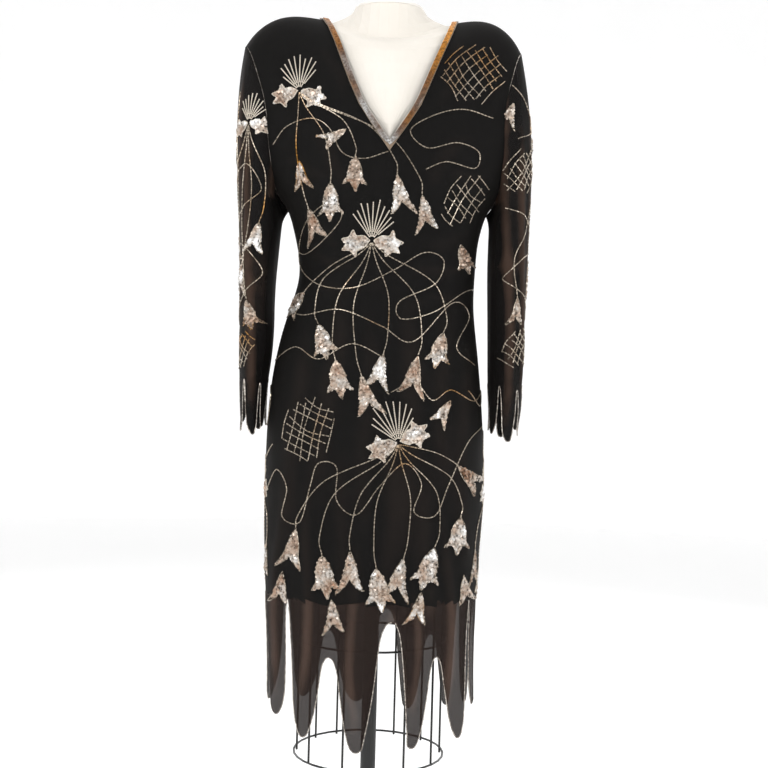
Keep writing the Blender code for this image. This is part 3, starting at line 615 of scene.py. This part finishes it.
trees = []
for hand in ("left", "right", "back"):
    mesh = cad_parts["neck_binding_" + hand].data
    trees.append(BVHTree.FromPolygons([v.co.copy() for v in mesh.vertices],
                                      [tuple(f.vertices) for f in mesh.polygons]))
neck_spots = []
for word in ("front", "back"):
    for part in rim_part(word + "_cloth", at_neck):
        for row in range(NECK_ROWS):
            inset = []
            for i, (p, n) in enumerate(part):
                way = part[min(i + 1, len(part) - 1)][0] - part[max(i - 1, 0)][0]
                inward = n.cross(way).normalized()
                if inward.z > 0 or (abs(inward.z) < 0.2 and abs((p + inward * 0.01).x) < abs(p.x)):
                    inward = -inward
                spot = p + inward * (0.0011 + 0.0021 * row) + n * 0.004
                hits = [t.find_nearest(spot) for t in trees]
                hit = min(hits, key=lambda h: h[3])
                if hit[3] < 0.006:
                    inset.append((hit[0] + n * 0.0006, n))
            neck_spots += along(inset, NECK_PITCH)
sew("neck_beads", bugle, neck_spots, bronze)

# A single line of small beads is sewn round each armhole and along the edge of every hem tongue and
# cuff finger. It weighs the sheer edge down.
silver, tree, skin = new_material("glass_beads_silver_edge")
# grey silver-lined seed beads, tarnished here and there
place = add_node(tree, "ShaderNodeTexCoord")
speck = add_node(tree, "ShaderNodeTexNoise", {"Vector": place.outputs["Object"], "Scale": 240.0,
                                              "Detail": 2.0})
tone = add_node(tree, "ShaderNodeValToRGB", {"Fac": speck.outputs["Fac"]})
tone.color_ramp.elements[0].position, tone.color_ramp.elements[0].color = 0.38, from_hex("#786E65")
tone.color_ramp.elements[1].position, tone.color_ramp.elements[1].color = 0.62, from_hex("#D6CEC4")
tree.links.new(tone.outputs["Color"], skin.inputs["Base Color"])
skin.inputs["Metallic"].default_value = 0.6
skin.inputs["Roughness"].default_value = 0.25


def at_armhole(p):
    """Whether a point of a panel's edge, in mm, lies on an armhole. The shoulder seam has no beads."""
    return p.z > 1088 and abs(p.x) > 148 and not (abs(p.y) < 5 and p.z > 1340)


edge_spots = []
for word in ("front", "back"):
    for part in rim_part(word + "_cloth", at_armhole):
        edge_spots += along([(p + n * 0.0008, n) for p, n in part], EDGE_PITCH)
    for part in rim_part(word + "_cloth", lambda p: p.z < 481):
        edge_spots += along([(p + n * 0.0004, n) for p, n in part], EDGE_PITCH)
sew("edge_beads_dress", small, edge_spots, silver)
edge_spots = []
for hand in ("left", "right"):
    for word in ("front", "back"):
        for part in rim_part(f"sleeve_{hand}_{word}_cloth", lambda p: p.z < 818):
            edge_spots += along([(p + n * 0.0004, n) for p, n in part], EDGE_PITCH)
sew("edge_beads_cuffs", small, edge_spots, silver)


# The dress is embroidered all over with bugle beads: fans of rays over pairs of leaves, trailing
# stems with tulip buds, trellis patches and long wandering lines. The layout is a generic one, of
# like scale and density.
RAY_PITCH = 0.0031
RAYS = 10
SPREAD = 44
SEQUIN_RADIUS = 0.0023


def lay(points, look, names):
    """Points of a drawing, in mm, dropped onto the cloth. look is the azimuth it is drawn from and an x."""
    azimuth, centre = look
    a = math.radians(azimuth)
    right, ahead = Vector((math.cos(a), math.sin(a), 0)), Vector((-math.sin(a), math.cos(a), 0))
    found, parts = [], []
    for u, z in points:
        start = Vector((centre, 0, 0)) + right * (u / 1000) - ahead * 0.6 + Vector((0, 0, z / 1000))
        best = None
        for name in names:
            hit = sheets[name][0].ray_cast(start, ahead)
            if hit[0] is not None and (best is None or hit[3] < best[3]):
                best = hit
        if best is not None and best[1].dot(ahead) > -0.12:
            best = None
        if best is None or (found and (found[-1][0] - best[0]).length > 0.03):
            if len(found) > 1:
                parts.append(found)
            found = []
        if best is not None:
            found.append((best[0], best[1]))
    if len(found) > 1:
        parts.append(found)
    for part in parts:
        soft = [part[max(i - 2, 0):i + 3] for i in range(len(part))]
        part[:] = [(p, sum((n for q, n in s), Vector()).normalized()) for (p, n), s in zip(part, soft)]
    return parts


def curved(knots):
    """A smooth line through its knots, in steps of about 3 mm."""
    k = [Vector(p) for p in knots]
    k = [k[0] * 2 - k[1]] + k + [k[-1] * 2 - k[-2]]
    line = []
    for i in range(1, len(k) - 2):
        count = max(2, int((k[i + 1] - k[i]).length / 3.0))
        for j in range(count):
            t = j / count
            a, b, c, d = k[i - 1:i + 3]
            line.append(0.5 * ((2 * b) + (c - a) * t + (2 * a - 5 * b + 4 * c - d) * t * t
                               + (3 * b - a - 3 * c + d) * t**3))
    line.append(k[-2])
    return [(p.x, p.y) for p in line]


class Work:
    """The bead lines and sequin spots of one panel or sleeve."""

    def __init__(self, look, names, seed):
        self.look, self.names = look, names
        self.beads, self.rays, self.discs, self.tints = [], [], [], []
        self.random = np.random.default_rng(seed)

    def line(self, knots, pitch=BUGLE_PITCH, rays=False):
        """Beads along a smooth line, cream ones if it is a ray."""
        for part in lay(curved(knots), self.look, self.names):
            spots = along([(p + n * 0.0007, n) for p, n in part], pitch)
            (self.rays if rays else self.beads).extend(spots)

    def fan(self, x, z, aim, length):
        """Straight rays, up to SPREAD degrees off aim; every other one starts nearer the middle."""
        for i in range(RAYS):
            off = 2 * i / (RAYS - 1) - 1
            a = math.radians(aim + SPREAD * off)
            near, reach = (12, 5)[i % 2], length * (1 - 0.3 * abs(off) + 0.06 * self.random.normal())
            self.line([(x + near * math.cos(a), z + near * math.sin(a)),
                       (x + reach * math.cos(a), z + reach * math.sin(a))], RAY_PITCH, True)

    def fill(self, outline, tint, rays=False):
        """Sequins, each overlapping the next, over a closed outline, which is then beaded."""
        pts = np.array(outline)
        low, high = pts.min(0), pts.max(0)
        row = 0
        z = low[1] + 0.8
        while z < high[1]:
            x = low[0] + (1.5 if row % 2 else 0.0)
            while x < high[0]:
                inside = False
                for (x0, z0), (x1, z1) in zip(pts, np.roll(pts, -1, axis=0)):
                    if (z0 > z) != (z1 > z) and x < (x1 - x0) * (z - z0) / (z1 - z0) + x0:
                        inside = not inside
                if inside:
                    for part in lay([(x, z), (x + 0.4, z + 0.4)], self.look, self.names):
                        p, n = part[0]
                        tilt = Vector(self.random.normal(0, 0.05, 3).tolist())
                        way = Vector(self.random.normal(0, 1, 3).tolist())
                        self.discs.append((p + n * 0.0011, way, n + tilt))
                        # tints run in patches and per sequin; the highest reach the painted white glint
                        patch = 0.55 * noise.noise(Vector((x, z, 7)) / 17)
                        self.tints.append(float(np.clip(tint + patch + self.random.normal(0, 0.08), 0, 1)))
                x += 2.7
            z += 2.35
            row += 1
        self.line(list(outline) + [outline[0]], RAY_PITCH if rays else 0.0058, rays)

    def turned(self, x, z, aim, size, shape, tint, rays=False):
        """Fills a shape that is drawn in mm along its stem, turned to aim and put at x, z."""
        a = math.radians(aim)
        self.fill([(x + size * (u * math.cos(a) - v * math.sin(a)),
                    z + size * (u * math.sin(a) + v * math.cos(a))) for u, v in shape], tint, rays)

    def tulip(self, x, z, aim, size, tint=0.5):
        """A bud with two or three pointed petals, hanging from its stem's end."""
        shape = ((0, 0), (12, 5), (26, 8), (40, 12), (58, 20), (45, 6), (38, 1), (46, -6), (53, -17),
                 (36, -11), (22, -9), (10, -5))
        if self.random.random() < 0.4:
            shape = ((0, 0), (10, 7), (22, 11), (34, 12), (46, 19), (41, 8), (56, 1), (41, -7), (44, -19),
                     (33, -12), (20, -11), (9, -7))
        if self.random.random() < 0.5:
            shape = [(u, -v) for u, v in reversed(shape)]
        self.turned(x, z, aim, size, shape, tint)

    def leaf(self, x, z, aim, size):
        """A leaf with pointed lobes, edged in cream."""
        shape = ((3, 0), (12, 8), (22, 10), (25, 18), (31, 9), (42, 6), (35, 0), (40, -8), (30, -9),
                 (23, -17), (20, -9), (10, -7))
        self.turned(x, z, aim, size, shape, 0.6, True)

    def spray(self, x, z, aim, leaves, stems, scale=1.0):
        """A fan over two leaves, with stems that trail to tulip buds. stems: x, z, bow, bud's size."""
        self.fan(x, z, aim, 62 * scale)
        for turn in leaves:
            self.leaf(x, z, turn, 1.12 * scale)
        for ex, ez, bow, size in stems:
            mid = ((x + ex) / 2 + bow, (z + ez) / 2 + abs(bow) * 0.2)
            knots = [(x, z - 4), (x * 0.72 + mid[0] * 0.28, z * 0.62 + mid[1] * 0.38), mid,
                     (mid[0] * 0.3 + ex * 0.7 + bow * 0.25, mid[1] * 0.32 + ez * 0.68), (ex, ez)]
            self.line(knots)
            if size:
                way = math.degrees(math.atan2(ez - knots[3][1], ex - knots[3][0]))
                self.tulip(ex, ez, way, size * 1.15, 0.4 + 0.3 * self.random.random())

    def trellis(self, x, z, wide, high, lean, pitch=12.0):
        """Two sets of crossing lines, their ends let go unevenly."""
        for turn in (lean, lean + 78):
            a = math.radians(turn)
            along_x, along_z = math.cos(a), math.sin(a)
            count = int((wide if turn == lean else high) / pitch)
            reach = (high if turn == lean else wide) / 2
            for i in range(count + 1):
                off = (i - count / 2) * pitch
                rounded = 1 - 0.42 * abs(2 * i / count - 1) ** 1.6
                short = reach * rounded * (0.78 + 0.34 * self.random.random())
                mx, mz = x - along_z * off, z + along_x * off
                bend = self.random.normal(1.5, 2.2)
                self.line([(mx - along_x * short, mz - along_z * short),
                           (mx - along_z * bend, mz + along_x * bend),
                           (mx + along_x * short, mz + along_z * short)])


turns = [i * math.pi / 3.5 for i in range(7)]
disc_shape = np.array([(SEQUIN_RADIUS * math.cos(a), SEQUIN_RADIUS * math.sin(a), 0) for a in turns])
disc_sides = [(i, i + 7, (i + 1) % 7 + 7, (i + 1) % 7) for i in range(7)]
disc = (np.vstack([disc_shape, disc_shape * 0.97 - [0, 0, 0.00018]]),
        [tuple(range(7)), tuple(range(13, 6, -1))] + disc_sides)
ray_bead = tube_bead(0.0009, 0.0026)

cream, tree, skin = new_material("glass_beads_cream")
# opaque seed beads, cream, with a small wet highlight
place = add_node(tree, "ShaderNodeTexCoord")
speck = add_node(tree, "ShaderNodeTexNoise", {"Vector": place.outputs["Object"], "Scale": 300.0,
                                              "Detail": 1.0})
tone = add_node(tree, "ShaderNodeValToRGB", {"Fac": speck.outputs["Fac"]})
tone.color_ramp.elements[0].color = from_hex("#B0A392")
tone.color_ramp.elements[1].color = from_hex("#E9E0D2")
tree.links.new(tone.outputs["Color"], skin.inputs["Base Color"])
skin.inputs["Roughness"].default_value = 0.3

sequin, tree, skin = new_material("foil_sequins_champagne")
# thin metallised film: bright, each one tipped a little its own way, champagne to rose and silver;
# the highest tints are painted white, a painted glint
own = add_node(tree, "ShaderNodeAttribute", attribute_name="tint")
tone = add_node(tree, "ShaderNodeValToRGB", {"Fac": own.outputs["Fac"]})
tone.color_ramp.elements[0].color = from_hex("#8E6A50")
tone.color_ramp.elements[1].color = from_hex("#FFFFFF")
# the white end of the ramp is a painted glint; the shades below it are the sequins' own colours
for at, shade in ((0.22, "#A98F7C"), (0.5, "#B8A798"), (0.8, "#CFCAC4")):
    tone.color_ramp.elements.new(at).color = from_hex(shade)
tree.links.new(tone.outputs["Color"], skin.inputs["Base Color"])
skin.inputs["Metallic"].default_value = 0.4
skin.inputs["Roughness"].default_value = 0.3


def finish_work(work, name):
    """Sews a panel's or sleeve's bead lines, rays and sequins as one piece each."""
    sew(name + "_bugles", bugle, work.beads, glass)
    if work.rays:
        sew(name + "_rays", ray_bead, work.rays, cream)
    if work.discs:
        sew(name + "_sequins", disc, work.discs, sequin, np.array(work.tints))


front = Work((0, 0.0), ["front_cloth"], 11)
front.spray(-132, 1262, 96, (-28, 196), (
    (-112, 1078, -12, 0.8), (-78, 1112, 14, 0.85), (-42, 1152, 24, 0.8), (22, 1126, 34, 0.9),
    (60, 1096, 42, 0.8)), 0.95)
front.trellis(136, 1296, 84, 96, 48)
front.trellis(126, 1096, 50, 92, 60)
front.spray(-14, 1030, 84, (-12, 190), (
    (-92, 900, -34, 0.85), (-64, 846, -24, 0.9), (-24, 824, -20, 0.95), (8, 858, 16, 0.85),
    (60, 856, 30, 0.95), (98, 892, 40, 0.85), (-118, 952, -8, 0.8)))
front.spray(34, 726, 104, (24, 202), (
    (-118, 588, -34, 0.95), (-76, 552, -38, 1.0), (-34, 560, -20, 0.95), (6, 536, -16, 1.0),
    (46, 552, 14, 0.95), (92, 566, 30, 1.0), (132, 612, 30, 0.9), (126, 690, 12, 0.85)), 1.05)
front.trellis(-104, 740, 78, 92, 78)
front.line([(168, 1228), (120, 1236), (74, 1222), (40, 1196), (66, 1170), (112, 1182), (146, 1172),
            (140, 1146), (96, 1150), (64, 1136)])
front.line([(-172, 1180), (-150, 1206), (-112, 1216), (-84, 1200), (-62, 1160), (-30, 1150), (8, 1162)])
front.line([(-146, 1040), (-120, 1012), (-84, 1034), (-60, 1066), (-86, 1082), (-120, 1052), (-128, 1000),
            (-96, 964), (-40, 958), (20, 986), (66, 1014), (96, 1004), (84, 968), (30, 938), (34, 912),
            (82, 924), (130, 958), (150, 966)])
front.line([(-150, 930), (-118, 916), (-60, 924), (4, 900), (52, 878), (112, 940), (140, 922), (120, 872),
            (150, 846)])
front.line([(-168, 842), (-128, 866), (-90, 848), (-40, 872), (10, 852)])
front.line([(-170, 640), (-152, 676), (-134, 650), (-140, 606), (-112, 600), (-98, 652), (-86, 690),
            (-58, 686), (-56, 636), (-26, 616), (8, 660), (44, 694), (70, 664), (60, 622), (92, 616),
            (112, 662), (140, 724), (168, 752)])
front.line([(20, 800), (56, 816), (84, 790), (112, 806), (150, 790), (168, 812)])
for x, z, aim, size in ((-128, 1150, -80, 0.8), (-58, 1196, -150, 0.75), (122, 1030, -70, 0.8),
                        (-138, 520, -96, 0.9), (112, 790, -120, 0.75), (-60, 486, -84, 0.9),
                        (74, 500, -100, 0.85), (140, 520, -80, 0.8)):
    front.tulip(x, z, aim, size)
finish_work(front, "front")

# The back is worked in the same hand, with its own sprays.
back = Work((180, 0.0), ["back_cloth"], 23)
back.spray(6, 1196, 92, (-18, 200), (
    (-96, 1070, -40, 0.85), (-54, 1030, -26, 0.9), (-8, 1012, -16, 0.9), (36, 1026, 18, 0.9),
    (88, 1062, 36, 0.85)))
back.trellis(-128, 1268, 74, 86, 44)
back.trellis(126, 1250, 66, 80, 60)
back.spray(40, 880, 80, (-20, 196), (
    (-96, 800, -40, 0.85), (-40, 784, -20, 0.8), (14, 712, -12, 1.0), (64, 716, 18, 0.95),
    (112, 748, 28, 0.9), (136, 806, 10, 0.85)))
back.spray(-44, 694, 98, (12, 208), (
    (-128, 566, -24, 0.95), (-86, 536, -26, 1.0), (-40, 520, -14, 0.95), (10, 534, 16, 1.0),
    (66, 556, 34, 0.95)))
back.trellis(104, 610, 70, 84, 70)
back.line([(-170, 1170), (-130, 1196), (-88, 1172), (-60, 1120), (-96, 1096), (-136, 1110), (-126, 1140),
           (-84, 1150)])
back.line([(-138, 1000), (-100, 976), (-50, 1000), (-8, 972), (28, 944), (76, 962), (104, 1000),
           (140, 990)])
back.line([(-150, 920), (-120, 890), (-84, 912), (-66, 868), (-104, 842), (-140, 862), (-160, 830)])
back.line([(-168, 670), (-146, 640), (-120, 668), (-104, 626), (-66, 612), (-30, 650), (8, 628), (40, 660),
           (90, 676), (140, 650), (168, 680)])
finish_work(back, "back")

# Under each arm the bead lines of both panels meet over the side seam, with a small spray.
for hand, side, seed in (("left", -1, 51), ("right", 1, 57)):
    seam = Work((side * 90, 0.0), ["front_cloth", "back_cloth"], seed)
    seam.line([(-70, 806), (-34, 782), (-2, 806), (30, 790), (24, 748), (-12, 738), (-20, 700), (20, 690),
               (58, 716)])
    seam.spray(-6 * side, 650, 90, (-18, 198), ((-48, 556, -14, 0.8), (-4, 536, 8, 0.85),
                                                (42, 560, 16, 0.8)), 0.8)
    finish_work(seam, f"side_{hand}")

# Each sleeve is worked on its outside and its back: a spray on one and a trellis on the other, lines
# and buds below them, and a trellis above the cuff.
for hand, side, seed in (("left", -1, 31), ("right", 1, 37)):
    names = [f"sleeve_{hand}_front_cloth", f"sleeve_{hand}_back_cloth"]
    fore = Work((side * 22, side * 0.198), names, seed)
    rear = Work((side * 128, side * 0.198), names, seed + 2)
    if side < 0:
        fore.spray(6, 1216, 80, (-20, 200), ((-24, 1046, -16, 0.75), (2, 1000, 12, 0.8),
                                             (28, 1058, 16, 0.75), (14, 936, -14, 0.7)), 0.75)
        fore.trellis(0, 860, 44, 60, 62, 10)
        fore.line([(-22, 1270), (-26, 1190), (-16, 1110), (-20, 1010), (-12, 930)])
        fore.line([(-30, 1130), (6, 1150), (30, 1110), (-4, 1080), (-30, 1040), (8, 1020), (34, 980),
                   (0, 940), (-24, 900)])
        rear.trellis(0, 1180, 56, 84, 62, 11)
        rear.line([(-30, 1080), (10, 1060), (32, 1010), (-6, 980), (-30, 930), (10, 900), (26, 850)])
        rear.tulip(8, 1040, -86, 0.75)
        rear.tulip(-14, 960, -100, 0.7)
    else:
        fore.trellis(2, 1150, 50, 78, 56, 10)
        fore.line([(-26, 1290), (10, 1262), (26, 1220), (-10, 1200)])
        fore.line([(-30, 1092), (12, 1076), (34, 1036), (0, 1012), (-28, 980), (8, 956), (32, 920)])
        fore.line([(24, 1112), (10, 1060), (-14, 1010), (-6, 952)])
        fore.tulip(-6, 952, -94, 0.75)
        fore.tulip(22, 990, -80, 0.7)
        fore.tulip(-16, 1256, -110, 0.7)
        fore.trellis(0, 874, 46, 62, 64, 10)
        rear.spray(-4, 1206, 96, (-16, 204), ((-20, 1020, -8, 0.75), (6, 976, 4, 0.8),
                                              (26, 1012, 10, 0.75)), 0.7)
        rear.trellis(0, 866, 44, 60, 60, 10)
    finish_work(fore, f"sleeve_{hand}_outer")
    finish_work(rear, f"sleeve_{hand}_rear")


# A plain white paper sweep and soft studio light.
paper, tree, skin = new_material("paper_white")
place = add_node(tree, "ShaderNodeTexCoord")
cloud = add_node(tree, "ShaderNodeTexNoise", {"Vector": place.outputs["Object"], "Scale": 2.0,
                                              "Detail": 2.0})
tone = add_node(tree, "ShaderNodeValToRGB", {"Fac": cloud.outputs["Fac"]})
tone.color_ramp.elements[0].color = from_hex("#F4F4F4")
tone.color_ramp.elements[1].color = from_hex("#F8F8F8")
tree.links.new(tone.outputs["Color"], skin.inputs["Base Color"])
skin.inputs["Roughness"].default_value = 1.0
skin.inputs["Specular IOR Level"].default_value = 0.0
skin.inputs["Emission Color"].default_value = (1, 1, 1, 1)
skin.inputs["Emission Strength"].default_value = 0.2
bpy.ops.object.select_all(action="DESELECT")
bpy.ops.mesh.primitive_circle_add(vertices=64, radius=5.5, fill_type="NGON", location=(0, 0, -0.0005))
floor = bpy.context.active_object
floor.name = "floor"
bpy.ops.object.transform_apply(location=True)
bpy.ops.object.mode_set(mode="EDIT")
bpy.ops.mesh.select_mode(type="EDGE")
bpy.ops.mesh.select_all(action="SELECT")
bpy.ops.mesh.region_to_loop()
bpy.ops.mesh.extrude_region_move(TRANSFORM_OT_translate={"value": (0, 0, 4.5)})
bpy.ops.object.mode_set(mode="OBJECT")
floor.data.materials.append(paper)
floor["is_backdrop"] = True

world = bpy.data.worlds.new("studio")
bpy.context.scene.world = world
world.use_nodes = True
world.node_tree.nodes["Background"].inputs["Color"].default_value = (1, 1, 1, 1)
world.node_tree.nodes["Background"].inputs["Strength"].default_value = 0.5
for name, at, size, power in (
    ("key", (-1.5, -2.3, 2.3), 1.2, 34), ("fill", (1.9, -2.0, 1.5), 1.5, 18),
    ("top", (0.2, 0.6, 3.0), 1.6, 16), ("back_left", (-1.8, 2.0, 2.0), 1.4, 14),
    ("back_right", (1.6, 2.2, 1.6), 1.4, 12),
):
    lamp = bpy.data.lights.new(name, "AREA")
    lamp.size, lamp.energy = size, power
    light = bpy.data.objects.new(name, lamp)
    light.location = at
    light.rotation_euler = (Vector((0, 0, 0.85)) - Vector(at)).to_track_quat("-Z", "Y").to_euler()
    bpy.context.scene.collection.objects.link(light)

[[list(corner) for corner in box] for box in (cad_box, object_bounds())]
